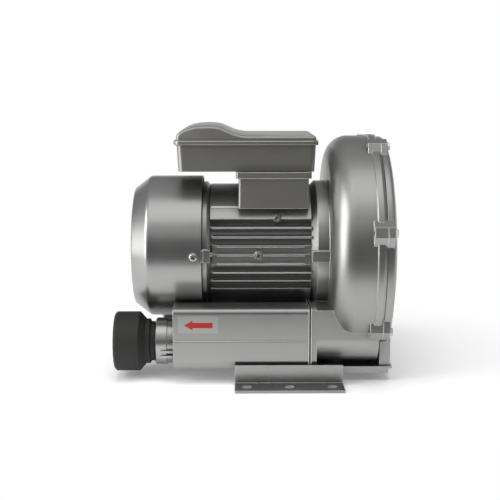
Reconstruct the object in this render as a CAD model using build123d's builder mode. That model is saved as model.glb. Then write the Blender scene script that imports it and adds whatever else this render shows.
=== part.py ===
from build123d import *
from math import cos, radians, sin, sqrt
import os

# Side channel blower: an induction motor carries the impeller of a ring-shaped blower on its shaft.
# Two silencers run back under the motor and stand on a pressed foot.
# +X runs along the shaft towards the blower's cover and +Z up. The origin lies on the floor, at
# the centre of the foot's slots. Millimetres.

# Fits
fit = 0.02  # radial clearance of pressed and spigotted joints
running_fit = 0.05  # radial clearance of raceways and seal lips
free_gap = 0.5  # clearance between turning and standing parts
screw_gap = 0.2  # radial clearance of a screw in its hole

# Shaft line
axis_height = 134.0
shaft_radius = 10.0  # at both bearings
rotor_seat_radius = 13.0
fan_seat_radius = 8.5
impeller_seat_radius = 9.0
circlip_groove_radius = 7.6

# Bearings
bearing_outer_radius = 23.5
bearing_width = 14.0
ball_radius = 3.97
ball_pitch_radius = 16.75
ball_count = 8
race_wall = 2.9
cage_wall = 2.1
cage_width = 10.0

# Motor
frame_start = -83.0
frame_end = 25.0
frame_bore = 55.0
frame_wall = 4.5
fin_tip_radius = 69.5
fin_pitch = 9.6
fin_width = 2.0
fins_each_way = 4
short_fin_relief = 7.5
tie_boss_face = 66.0  # flat of the tie-rod boss, measured from the shaft
core_start = -60.0
core_length = 60.0
air_gap = 0.4
rotor_radius = 35.0
slot_count = 24
winding_overhang = 14.0
rotor_bar_count = 20
rotor_bar_radius = 2.6
rotor_ring_width = 9.0

# End bell and fan
bell_radius = 72.0
bell_length = 9.0
bell_wall = 5.0
tie_rod_radius = 3.0
tie_rod_offset = 62.5
lug_half_width = 7.0
fan_cover_radius = 78.5
fan_cover_end_radius = 64.8
fan_cover_start = -167.4
fan_cover_cone = 17.7
fan_cover_open = -92.0
sheet = 1.2
fan_radius = 65.0
fan_start = -134.0
fan_end = -108.0
fan_blades = 9
cover_screw_station = -100.5
cover_screw_angles = (0.0, 180.0, 270.0)

# Blower
neck_radius = 73.0
neck_wall = 5.0
neck_bevel = 6.5
back_face = 44.0
casing_radius = 123.0
casing_corner = 22.0
casing_arc = 24.5  # radius of the corner, flatter than the corner itself, which leaves a crease
joint_station = 97.5
joint_radius = 124.5
joint_bevel = 2.0
impeller_radius = 117.0
impeller_start = 64.5
impeller_width = 29.0
blade_count = 40
blade_thickness = 2.2
channel_inner = 79.0
channel_outer = 117.0
channel_depth = 14.0
interrupter_angle = 24.0
cover_radius = 122.0
cover_front = 111.5
dish_face = 104.0
register_depth = 2.0
lug_reach = 130.0
lug_face = 10.4  # width of a lug at its reach; the flanks spread from it at 45 degrees
lug_root = 112.0
lug_start = 84.0
lug_end = 104.5
lug_angles = (-38.0, 14.6, 67.0, 113.0, 165.4, 218.0)
cover_bolt_inset = 6.0  # from a lug's outer face to its bolt
cover_bolt_radius = 2.5
cover_bolt_head = 4.6
cover_bolt_length = 20.0
leg_outer = 80.0
leg_inner = 46.0
leg_end = 109.0

# Silencers and ports
silencer_start = -121.7
silencer_end = 21.4
gasket_thickness = 1.5
silencer_inner = 21.0
silencer_outer = 95.0
silencer_bottom = 16.5
silencer_top = 82.0
silencer_corner = 6.0
silencer_groove = 47.3
silencer_wall = 3.5
motor_clearance = 81.0  # radius kept free about the shaft
port_offset = 58.0
port_height = 38.4
port_radius = 25.2
port_bore = 20.95
port_length = 21.1
tube_radius = 18.0
tube_wall = 1.0
flange_thickness = 6.5
duct_radius = 15.5
duct_height = 45.0
duct_top = 80.0
duct_bottom = 19.5
flange_screw_radius = 3.0
flange_screw_spots = ((29.0, 24.0), (29.0, 42.0))

# Coupling
coupling_radius = 32.0
coupling_bore = 25.0
coupling_start = -186.0
coupling_shoulder = -159.4

# Foot
foot_sheet = 3.0
foot_length = 113.8
foot_half_width = 125.0
foot_web_inner = 95.2
foot_web_top = 22.0
tongue_half_width = 84.0
tongue_end = 111.0
tongue_lip = 7.5
fork_start = 47.0
fork_half_width = 42.0
slot_spacing = 44.4
slot_offset = 112.5
slot_length = 11.0
slot_width = 9.0
foot_bolt_radius = 4.0
silencer_bolt_station = -35.0
silencer_bolt_offset = 77.0
cover_leg_bolt_offset = 63.0

# Terminal box
neck_start = -53.0
neck_end = 22.2
neck_half_width = 62.0
neck_bottom = axis_height + 49.0
box_bottom = axis_height + 87.7
box_depth = 28.0
box_start = -118.2
box_end = 29.4
box_half_width = 57.0
box_wall = 3.0
lid_start = -121.2
lid_end = 31.9
lid_half_width = 60.0
lid_skirt = 5.0
lid_rise = 9.2  # top of the lid above the box's rim
hump_rise = 20.3
lid_crown = 2.5  # how far the lid falls from its middle to its long sides
hump_centre = -86.0
capacitor_radius = 19.5
capacitor_length = 84.0
gland_station = -20.0
lid_screw_inset = 8.0

# Values worked out from the ones above
core_end = core_start + core_length
fin_root_radius = frame_bore + frame_wall
rear_bearing_start = frame_start - 7.0
drive_bearing_start = frame_end + 8.0
bell_start = frame_start - bell_length
impeller_end = impeller_start + impeller_width
back_wall_face = impeller_start - free_gap
cover_wall_face = impeller_end + free_gap
pocket_radius = impeller_radius + free_gap
seal_start = drive_bearing_start + bearing_width + 3.0
seal_width = 7.0
seal_radius = 16.0
flange_start = silencer_end + gasket_thickness
foot_top = silencer_bottom
foot_web_outer = foot_web_inner + foot_sheet
cover_bolt_circle = lug_reach - cover_bolt_inset
box_rim = box_bottom + box_depth
lid_seat = box_rim + 2.0
lid_top = box_rim + lid_rise
hump_top = box_rim + hump_rise


def across(x, y=0.0, z=axis_height):
    """Plane square to the shaft, its local axes along Y and Z."""
    return Plane(origin=(x, y, z), x_dir=(0, 1, 0), z_dir=(1, 0, 0))


def lengthwise(angle=90.0, y=0.0, z=axis_height):
    """Plane through an axis along X; its local y points away from the axis at the angle."""
    turn = radians(angle)
    return Plane(origin=(0, y, z), x_dir=(1, 0, 0), z_dir=(0, -sin(turn), cos(turn)))


def ring(x_start, x_end, outer, inner=0.0, y=0.0, z=axis_height, mode=Mode.ADD):
    """Round bar or ring along X."""
    with BuildSketch(across(x_start, y, z)) as section:
        Circle(outer)
        if inner > 0:
            Circle(inner, mode=Mode.SUBTRACT)
    extrude(section.sketch, amount=x_end - x_start, mode=mode)


def turned(*outline, y=0.0, z=axis_height, mode=Mode.ADD):
    """Solid of revolution along X from (x, radius) points."""
    with BuildSketch(lengthwise(90.0, y, z)) as section:
        with BuildLine():
            Polyline(*outline, close=True)
        make_face()
    revolve(section.sketch, axis=Axis((0, y, z), (1, 0, 0)), mode=mode)


def block(x_span, y_span, z_span, mode=Mode.ADD):
    """Box between pairs of limits."""
    with Locations((x_span[0], y_span[0], z_span[0])):
        Box(
            x_span[1] - x_span[0],
            y_span[1] - y_span[0],
            z_span[1] - z_span[0],
            align=(Align.MIN, Align.MIN, Align.MIN),
            mode=mode,
        )


def screw(seat, head_radius, head_height, shank_radius, length, sides=0):
    """Screw whose head stands on the seat plane and whose shank goes back through it."""
    with BuildSketch(seat) as head:
        if sides:
            RegularPolygon(head_radius, sides)
        else:
            Circle(head_radius)
    extrude(head.sketch, amount=head_height)
    with BuildSketch(seat) as shank:
        Circle(shank_radius)
    extrude(shank.sketch, amount=-length)


def save(piece, name):
    """Write one finished piece under its name."""
    piece.label = name
    export_step(piece, f"parts/{name}.step")


def polar(radius, angle):
    """Local point at a radius and angle about the shaft."""
    return (radius * cos(radians(angle)), radius * sin(radians(angle)))


os.makedirs("parts", exist_ok=True)


# Bearings: two deep-groove ball bearings, cages and balls riding between their rings
def bearing(name, x_start):
    x_end = x_start + bearing_width
    x_mid = x_start + bearing_width / 2

    with BuildPart() as outer_ring:
        ring(x_start, x_end, bearing_outer_radius, ball_pitch_radius + race_wall)
        with BuildSketch(lengthwise()):
            with Locations((x_mid, ball_pitch_radius)):
                Circle(ball_radius + running_fit)
        revolve(axis=Axis((0, 0, axis_height), (1, 0, 0)), mode=Mode.SUBTRACT)
    save(outer_ring.part, f"{name}_outer_ring")

    with BuildPart() as inner_ring:
        ring(x_start, x_end, ball_pitch_radius - race_wall, shaft_radius)
        with BuildSketch(lengthwise()):
            with Locations((x_mid, ball_pitch_radius)):
                Circle(ball_radius + running_fit)
        revolve(axis=Axis((0, 0, axis_height), (1, 0, 0)), mode=Mode.SUBTRACT)
    save(inner_ring.part, f"{name}_inner_ring")

    with BuildPart() as balls:
        with Locations(across(x_mid)):
            with PolarLocations(ball_pitch_radius, ball_count):
                Sphere(ball_radius)
    save(balls.part, f"{name}_balls")

    with BuildPart() as cage:
        ring(
            x_mid - cage_width / 2,
            x_mid + cage_width / 2,
            ball_pitch_radius + cage_wall / 2,
            ball_pitch_radius - cage_wall / 2,
        )
        with Locations(across(x_mid)):
            with PolarLocations(ball_pitch_radius, ball_count):
                Cylinder(
                    ball_radius + 2 * running_fit,
                    4 * cage_wall,
                    rotation=(0, 90, 0),
                    mode=Mode.SUBTRACT,
                )
    save(cage.part, f"{name}_cage")


bearing("drive_bearing", drive_bearing_start)
bearing("rear_bearing", rear_bearing_start)

# Shaft: stepped, with the fan seat at the rear and the impeller seat at the front
impeller_hub_start = impeller_start + 1.0
impeller_hub_end = impeller_hub_start + 24.0
shaft_start = fan_start - 3.0
shaft_end = impeller_hub_end - 1.0
shim_thickness = 0.6
impeller_shoulder = impeller_hub_start - shim_thickness
key_width = 6.0
key_bottom = 5.5
key_top = 11.5
key_start = impeller_hub_start + 3.0
key_end = impeller_hub_end - 3.0
impeller_bolt_radius = 4.0
impeller_bolt_depth = 20.0
circlip_width = 1.2

with BuildPart() as shaft:
    turned(
        (shaft_start, 0),
        (shaft_start, fan_seat_radius - fit),
        (rear_bearing_start, fan_seat_radius - fit),
        (rear_bearing_start, shaft_radius - fit),
        (rear_bearing_start + bearing_width, shaft_radius - fit),
        (rear_bearing_start + bearing_width, rotor_seat_radius - fit),
        (drive_bearing_start, rotor_seat_radius - fit),
        (drive_bearing_start, shaft_radius - fit),
        (impeller_shoulder, shaft_radius - fit),
        (impeller_shoulder, impeller_seat_radius - fit),
        (shaft_end, impeller_seat_radius - fit),
        (shaft_end, 0),
    )
    ring(
        fan_start - circlip_width,
        fan_start,
        fan_seat_radius,
        circlip_groove_radius,
        mode=Mode.SUBTRACT,
    )
    block(
        (key_start, key_end),
        (-key_width / 2, key_width / 2),
        (axis_height + key_bottom, axis_height + key_top),
        mode=Mode.SUBTRACT,
    )
    ring(shaft_end - impeller_bolt_depth - 2.0, shaft_end, impeller_bolt_radius + fit, mode=Mode.SUBTRACT)
save(shaft.part, "shaft")

with BuildPart() as impeller_key:
    block(
        (key_start + fit, key_end - fit),
        (-key_width / 2 + fit, key_width / 2 - fit),
        (axis_height + key_bottom + fit, axis_height + key_top),
    )
save(impeller_key.part, "impeller_key")

# Impeller: hub, thin web, rim and curved blades on both sides of a dividing ridge
hub_radius = 22.0
web_thickness = 6.0
rim_inner = 72.0
rim_outer = 84.0
ridge_radius = 112.0
ridge_base = 7.0
blade_sweep = 9.0
impeller_middle = impeller_start + impeller_width / 2

with BuildSketch() as blade:
    with BuildLine():
        lead = ThreePointArc(
            (rim_outer - 2, -blade_thickness / 2),
            (0.5 * (rim_outer + impeller_radius), blade_sweep / 4 - blade_thickness / 2),
            (impeller_radius + 2, blade_sweep - blade_thickness / 2),
        )
        trail = ThreePointArc(
            (rim_outer - 2, blade_thickness / 2),
            (0.5 * (rim_outer + impeller_radius), blade_sweep / 4 + blade_thickness / 2),
            (impeller_radius + 2, blade_sweep + blade_thickness / 2),
        )
        Line(lead @ 0, trail @ 0)
        Line(lead @ 1, trail @ 1)
    make_face()

with BuildPart() as impeller:
    with BuildSketch(across(impeller_start)):
        with PolarLocations(0, blade_count):
            add(blade.sketch)
        Circle(impeller_radius, mode=Mode.INTERSECT)
        Circle(rim_outer)
        Circle(rim_inner, mode=Mode.SUBTRACT)
    extrude(amount=impeller_width)
    turned(
        (impeller_middle - ridge_base, rim_outer - 1),
        (impeller_middle - ridge_base, rim_outer),
        (impeller_middle - 1, ridge_radius),
        (impeller_middle + 1, ridge_radius),
        (impeller_middle + ridge_base, rim_outer),
        (impeller_middle + ridge_base, rim_outer - 1),
    )
    ring(impeller_middle - web_thickness / 2, impeller_middle + web_thickness / 2, rim_inner + 1)
    ring(impeller_hub_start, impeller_hub_end, hub_radius)
    ring(impeller_hub_start, impeller_hub_end, impeller_seat_radius, mode=Mode.SUBTRACT)
    block(
        (impeller_hub_start, impeller_hub_end),
        (-key_width / 2, key_width / 2),
        (axis_height, axis_height + key_top + screw_gap),
        mode=Mode.SUBTRACT,
    )
save(impeller.part, "impeller")

with BuildPart() as impeller_shims:
    ring(impeller_shoulder, impeller_hub_start, shaft_radius + 3.0, impeller_seat_radius)
save(impeller_shims.part, "impeller_shims")

washer_thickness = 2.5
with BuildPart() as impeller_washer:
    ring(impeller_hub_end, impeller_hub_end + washer_thickness, 14.0, impeller_bolt_radius + screw_gap)
save(impeller_washer.part, "impeller_washer")

with BuildPart() as impeller_bolt:
    screw(
        across(impeller_hub_end + washer_thickness),
        7.2,
        4.0,
        impeller_bolt_radius,
        impeller_bolt_depth,
        sides=6,
    )
save(impeller_bolt.part, "impeller_bolt")

with BuildPart() as shaft_seal:
    turned(
        (seal_start, seal_radius - fit),
        (seal_start, shaft_radius + 3.0),
        (seal_start + 1.5, shaft_radius + 3.0),
        (seal_start + 3.0, shaft_radius + running_fit),
        (seal_start + 4.5, shaft_radius + running_fit),
        (seal_start + seal_width, shaft_radius + 3.0),
        (seal_start + seal_width, seal_radius - fit),
    )
save(shaft_seal.part, "shaft_seal")

# Rotor: laminated core with cast bars and end rings
bar_circle = rotor_radius - rotor_bar_radius - 1.0
with BuildPart() as rotor_core:
    ring(core_start, core_end, rotor_radius, rotor_seat_radius)
    with BuildSketch(across(core_start)):
        with PolarLocations(bar_circle, rotor_bar_count):
            Circle(rotor_bar_radius)
    extrude(amount=core_length, mode=Mode.SUBTRACT)
save(rotor_core.part, "rotor_core")

with BuildPart() as rotor_cage:
    ring(core_start - rotor_ring_width, core_start, rotor_radius - 1.0, 22.0)
    ring(core_end, core_end + rotor_ring_width, rotor_radius - 1.0, 22.0)
    with BuildSketch(across(core_start)):
        with PolarLocations(bar_circle, rotor_bar_count):
            Circle(rotor_bar_radius - fit)
    extrude(amount=core_length)
save(rotor_cage.part, "rotor_cage")

# Stator: slotted core and the windings that fill the slots and turn round its ends
slot_inner = rotor_radius + air_gap + 2.5
slot_depth = 11.0
slot_gap_width = 5.0
slot_middle = slot_inner + slot_depth / 2
with BuildPart() as stator_core:
    ring(core_start, core_end, frame_bore - fit, rotor_radius + air_gap)
    with BuildSketch(across(core_start)):
        with PolarLocations(slot_middle, slot_count):
            Rectangle(slot_depth, slot_gap_width)
    extrude(amount=core_length, mode=Mode.SUBTRACT)
save(stator_core.part, "stator_core")

turns_outer = slot_inner + slot_depth + 1.5
turns_inner = slot_inner + 1.0
turns_bevel = 3.0
with BuildPart() as windings:
    for near, far in ((core_start, core_start - winding_overhang), (core_end, core_end + winding_overhang)):
        rounding = turns_bevel if far > near else -turns_bevel
        turned(
            (near, turns_inner),
            (near, turns_outer),
            (far - rounding, turns_outer),
            (far, turns_outer - turns_bevel),
            (far, turns_inner + turns_bevel),
            (far - rounding, turns_inner),
        )
    with BuildSketch(across(core_start)):
        with PolarLocations(slot_middle, slot_count):
            Rectangle(slot_depth - 2 * fit, slot_gap_width - 2 * fit)
    extrude(amount=core_length)
save(windings.part, "stator_windings")

# Motor frame: a bore with horizontal fins on both sides and a boss along each tie rod
fin_gap = fin_pitch - fin_width
fin_relief = 2.5
relief_height = fins_each_way * fin_pitch + fin_width / 2
side_screw_radius = 4.4
side_screw_height = 2.0
ground_screw_station = -31.2
rating_screw_station = -12.0

with BuildPart() as motor_frame:
    ring(frame_start, frame_end, fin_tip_radius)
    for side in (-1, 1):
        for row in range(-fins_each_way, fins_each_way):
            middle = axis_height + (row + 0.5) * fin_pitch
            beside_boss = row in (-1, 0)
            root = tie_boss_face if beside_boss else sqrt(
                fin_root_radius**2 - (middle - axis_height) ** 2
            )
            span = sorted((side * root, side * (fin_tip_radius + 1)))
            block(
                (frame_start, frame_end),
                span,
                (middle - fin_gap / 2, middle + fin_gap / 2),
                mode=Mode.SUBTRACT,
            )
        block(
            (frame_start, frame_start + fin_relief),
            sorted((side * (fin_root_radius + 1.0), side * (fin_tip_radius + 1))),
            (axis_height - relief_height, axis_height + relief_height),
            mode=Mode.SUBTRACT,
        )
        for row in (-1, 0, 1):
            level = axis_height + row * fin_pitch
            reach = sorted((side * tie_boss_face, side * (fin_tip_radius + 1)))
            for x_span in (
                (frame_start, frame_start + short_fin_relief),
                (frame_end - short_fin_relief, frame_end),
            ):
                block(x_span, reach, (level - fin_width, level + fin_width), mode=Mode.SUBTRACT)
    ring(frame_start, frame_end, fin_root_radius)
    for station, row in ((ground_screw_station, 0), (rating_screw_station, fins_each_way)):
        level = axis_height + row * fin_pitch
        depth = sqrt(fin_tip_radius**2 - (level - axis_height) ** 2)
        with BuildSketch(Plane.XZ.offset(depth - 8.0)):
            with Locations((station, level)):
                Circle(side_screw_radius)
        extrude(amount=8.0 + 0.6)
        with BuildSketch(Plane.XZ.offset(depth - 6.0)):
            with Locations((station, level)):
                Circle(1.5 + fit)
        extrude(amount=8.0, mode=Mode.SUBTRACT)
    ring(frame_start, frame_end, frame_bore, mode=Mode.SUBTRACT)
    for side in (-1, 1):
        ring(
            frame_start,
            frame_end,
            tie_rod_radius + screw_gap,
            y=side * tie_rod_offset,
            mode=Mode.SUBTRACT,
        )
    with Locations((-17.0, 0, axis_height + fin_root_radius)):
        Cylinder(9.0, 30.0, mode=Mode.SUBTRACT)
save(motor_frame.part, "motor_frame")

with BuildPart() as frame_screws:
    for station, row in ((ground_screw_station, 0), (rating_screw_station, fins_each_way)):
        level = axis_height + row * fin_pitch
        depth = sqrt(fin_tip_radius**2 - (level - axis_height) ** 2)
        seat = Plane(
            origin=(station, -(depth + 0.6), level),
            x_dir=(1, 0, 0),
            z_dir=(0, -1, 0),
        )
        screw(seat, side_screw_radius - 1.2, side_screw_height, 1.5, 4.0)
save(frame_screws.part, "frame_screws")

# End bell: plate with the rear bearing's seat, tie-rod lugs, and ears for the fan cover's screws
bell_hub_radius = bearing_outer_radius + 5.0
bell_spigot = 4.0
bell_bevel = 4.0
tie_head_radius = 5.5
ear_inner = 69.6
ear_half_width = 6.0
ear_reach = 12.0
cover_inside = fan_cover_radius - sheet
bearing_shoulder = rear_bearing_start - 2.0
bell_back = bell_start - 3.0

with BuildPart() as end_bell:
    turned(
        (bell_back, 0),
        (bell_back, bell_hub_radius),
        (bell_start, bell_radius - 6.0),
        (bell_start + 0.5, bell_radius),
        (frame_start - bell_bevel, bell_radius),
        (frame_start, bell_radius - bell_bevel),
        (frame_start, frame_bore - fit),
        (frame_start + bell_spigot, frame_bore - fit),
        (frame_start + bell_spigot, frame_bore - 3.0),
        (bell_start + bell_wall, frame_bore - 3.0),
        (bell_start + bell_wall, bell_hub_radius),
        (rear_bearing_start + bearing_width, bell_hub_radius),
        (rear_bearing_start + bearing_width, 0),
    )
    for side in (-1, 1):
        block(
            (bell_start, frame_start),
            sorted((side * 60.0, side * (bell_radius + 2.5))),
            (axis_height - lug_half_width, axis_height + lug_half_width),
        )
    with BuildSketch(across(bell_start - ear_reach)):
        for angle in cover_screw_angles:
            with Locations(Location((0, 0, 0), (0, 0, angle))):
                with Locations(((ear_inner + cover_inside) / 2, 0)):
                    Rectangle(cover_inside - ear_inner, 2 * ear_half_width)
        Circle(cover_inside - fit, mode=Mode.INTERSECT)
    extrude(amount=ear_reach + 2.0)
    ring(
        bearing_shoulder,
        rear_bearing_start + bearing_width,
        bearing_outer_radius + fit,
        mode=Mode.SUBTRACT,
    )
    ring(bell_back, bearing_shoulder, shaft_radius + free_gap, mode=Mode.SUBTRACT)
    for side in (-1, 1):
        ring(bell_back, frame_start, tie_rod_radius + screw_gap, y=side * tie_rod_offset, mode=Mode.SUBTRACT)
        ring(bell_back, bell_start, tie_head_radius + 0.5, y=side * tie_rod_offset, mode=Mode.SUBTRACT)
    for angle in cover_screw_angles:
        outward = lengthwise(angle)
        hole = Plane(
            origin=Vector(cover_screw_station, 0, axis_height) + outward.y_dir * 60.0,
            x_dir=(1, 0, 0),
            z_dir=outward.y_dir,
        )
        with BuildSketch(hole) as drilling:
            Circle(2.5 + fit)
        extrude(drilling.sketch, amount=30.0, mode=Mode.SUBTRACT)
save(end_bell.part, "end_bell")

with BuildPart() as wave_spring:
    turned(
        (bearing_shoulder, shaft_radius + 10.5),
        (bearing_shoulder + 0.5, shaft_radius + 10.5),
        (rear_bearing_start, bearing_outer_radius - 0.3),
        (rear_bearing_start - 0.5, bearing_outer_radius - 0.3),
    )
save(wave_spring.part, "wave_spring")

# Tie rods: long bolts with hexagon heads on the end bell, screwed into the housing's lugs
tie_rod_end = back_face - 2.0
with BuildPart() as tie_rods:
    for side in (-1, 1):
        seat = Plane(
            origin=(bell_start, side * tie_rod_offset, axis_height),
            x_dir=(0, 1, 0),
            z_dir=(-1, 0, 0),
        )
        screw(seat, tie_head_radius, 4.0, tie_rod_radius, tie_rod_end - bell_start, sides=6)
save(tie_rods.part, "tie_rods")

# Cooling fan: hub, back plate and straight blades, held by a circlip
with BuildPart() as cooling_fan:
    ring(fan_start, fan_end, 15.0)
    ring(fan_end - 2.5, fan_end, fan_radius)
    with BuildSketch(across(fan_start)):
        with PolarLocations(0, fan_blades):
            with Locations(((14.0 + fan_radius) / 2, 0)):
                Rectangle(fan_radius - 14.0, 2.0)
        Circle(fan_radius, mode=Mode.INTERSECT)
    extrude(amount=fan_end - fan_start)
    ring(fan_start, fan_end, fan_seat_radius, mode=Mode.SUBTRACT)
save(cooling_fan.part, "cooling_fan")

with BuildPart() as fan_circlip:
    ring(fan_start - circlip_width + fit, fan_start, fan_seat_radius + 2.0, circlip_groove_radius + fit)
    with BuildSketch(across(fan_start - circlip_width)):
        with Locations((-fan_seat_radius, 0)):
            Rectangle(6.0, 5.0)
    extrude(amount=circlip_width, mode=Mode.SUBTRACT)
save(fan_circlip.part, "fan_circlip")

# Fan cover: drawn sheet with a coned rim and an air grille of slotted rings
grille_rings = 4
grille_pitch = 12.5
grille_slot = 6.0
grille_first = 16.0
grille_spokes = 6
spoke_width = 7.0
cone_slope = (fan_cover_radius - fan_cover_end_radius) / fan_cover_cone
draw_radius = 7.0  # outer radius of the drawn corner between cone and cylinder
end_radius = 3.0

with BuildPart() as fan_cover:
    turned(
        (fan_cover_start, 0),
        (fan_cover_start, fan_cover_end_radius),
        (fan_cover_start + fan_cover_cone, fan_cover_radius),
        (fan_cover_open, fan_cover_radius),
        (fan_cover_open, fan_cover_radius - sheet),
        (fan_cover_start + fan_cover_cone + sheet * cone_slope, fan_cover_radius - sheet),
        (fan_cover_start + sheet, fan_cover_end_radius - sheet * cone_slope),
        (fan_cover_start + sheet, 0),
    )
    corners = fan_cover.edges().filter_by(GeomType.CIRCLE).sort_by(lambda e: -e.radius)
    shoulder = [e for e in corners if abs(e.center().X - fan_cover_start - fan_cover_cone) < sheet]
    rim = [e for e in corners if abs(e.center().X - fan_cover_start) < 1.5 * sheet]
    fillet(shoulder[0], draw_radius)
    fillet(shoulder[1], draw_radius - sheet)
    fillet(rim[0], end_radius)
    fillet(rim[1], end_radius - sheet)
    with BuildSketch(across(fan_cover_start)):
        for row in reversed(range(grille_rings)):
            middle = grille_first + row * grille_pitch
            Circle(middle + grille_slot / 2)
            Circle(middle - grille_slot / 2, mode=Mode.SUBTRACT)
        with PolarLocations(0, grille_spokes):
            with Locations((fan_cover_end_radius / 2, 0)):
                Rectangle(fan_cover_end_radius, spoke_width, mode=Mode.SUBTRACT)
    extrude(amount=2 * sheet, mode=Mode.SUBTRACT)
    for angle in cover_screw_angles:
        outward = lengthwise(angle)
        hole = Plane(
            origin=Vector(cover_screw_station, 0, axis_height) + outward.y_dir * ear_inner,
            x_dir=(1, 0, 0),
            z_dir=outward.y_dir,
        )
        with BuildSketch(hole) as drilling:
            Circle(2.5 + screw_gap)
        extrude(drilling.sketch, amount=20.0, mode=Mode.SUBTRACT)
save(fan_cover.part, "fan_cover")

with BuildPart() as fan_cover_screws:
    for angle in cover_screw_angles:
        outward = lengthwise(angle)
        seat = Plane(
            origin=Vector(cover_screw_station, 0, axis_height) + outward.y_dir * (fan_cover_radius + fit),
            x_dir=(1, 0, 0),
            z_dir=outward.y_dir,
        )
        screw(seat, 5.2, 1.0, 2.5, 8.0)
        with BuildSketch(seat.offset(1.0)) as head:
            Circle(4.0)
        extrude(head.sketch, amount=2.0, taper=20)
save(fan_cover_screws.part, "fan_cover_screws")

# Impeller housing: ring-shaped casing with its side channel, the motor flange and the duct stubs
seal_wall = seal_start - 1.0
hub_outer = bearing_outer_radius + 6.5
duct_end = joint_station - 3.0
belly_radius = silencer_groove + 1.0 - duct_bottom


def channel_cut(wall_face, bottom):
    """Side channel, left whole at the interrupter below the shaft."""
    first = -90.0 + interrupter_angle / 2
    middle = (channel_inner + channel_outer) / 2
    with BuildSketch(lengthwise(first)) as trough:
        with BuildLine():
            curve = ThreePointArc((wall_face, channel_inner), (bottom, middle), (wall_face, channel_outer))
            Line(curve @ 0, curve @ 1)
        make_face()
    revolve(
        trough.sketch,
        axis=Axis((0, 0, axis_height), (1, 0, 0)),
        revolution_arc=360.0 - interrupter_angle,
        mode=Mode.SUBTRACT,
    )


def lugs(x_start, x_end):
    """Bolt lugs round the casing between two stations, spreading towards their roots."""
    root_half_width = lug_face / 2 + lug_reach - lug_root
    with BuildSketch() as lug:
        with BuildLine():
            Polyline(
                (lug_reach, -lug_face / 2),
                (lug_reach, lug_face / 2),
                (lug_root, root_half_width),
                (lug_root, -root_half_width),
                close=True,
            )
        make_face()
    for angle in lug_angles:
        with BuildSketch(across(x_start)) as placed:
            with Locations(Location((0, 0, 0), (0, 0, angle))):
                add(lug.sketch)
        extrude(placed.sketch, amount=x_end - x_start)


def cover_bolt_holes(x_start, x_end, clearance):
    """Holes of the cover bolts between two stations."""
    for angle in lug_angles:
        y, z = polar(cover_bolt_circle, angle)
        ring(x_start, x_end, cover_bolt_radius + clearance, y=y, z=axis_height + z, mode=Mode.SUBTRACT)


def silencer_outline(side, shrink=0.0):
    """Section of a silencer casing, scooped round the motor and shrunk for its hollow."""
    corner = silencer_corner - shrink / 2
    with BuildSketch() as outline:
        with BuildLine():
            Polyline(
                (side * (silencer_outer - shrink), silencer_top - shrink - corner),
                (side * (silencer_outer - shrink), silencer_bottom + 9.0 + shrink / 2),
                (side * (silencer_outer - 5.0 - shrink), silencer_bottom + shrink),
                (side * (silencer_inner + shrink), silencer_bottom + shrink),
                (side * (silencer_inner + shrink), silencer_top - shrink),
                (side * (silencer_outer - shrink - corner), silencer_top - shrink),
            )
            RadiusArc(
                (side * (silencer_outer - shrink - corner), silencer_top - shrink),
                (side * (silencer_outer - shrink), silencer_top - shrink - corner),
                side * corner,
            )
        make_face()
        with Locations((0, axis_height)):
            Circle(motor_clearance + shrink, mode=Mode.SUBTRACT)
    return outline.sketch


def on_section(x):
    """Plane at station x whose local axes are Y and Z from the floor."""
    return Plane(origin=(x, 0, 0), x_dir=(0, 1, 0), z_dir=(1, 0, 0))


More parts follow.
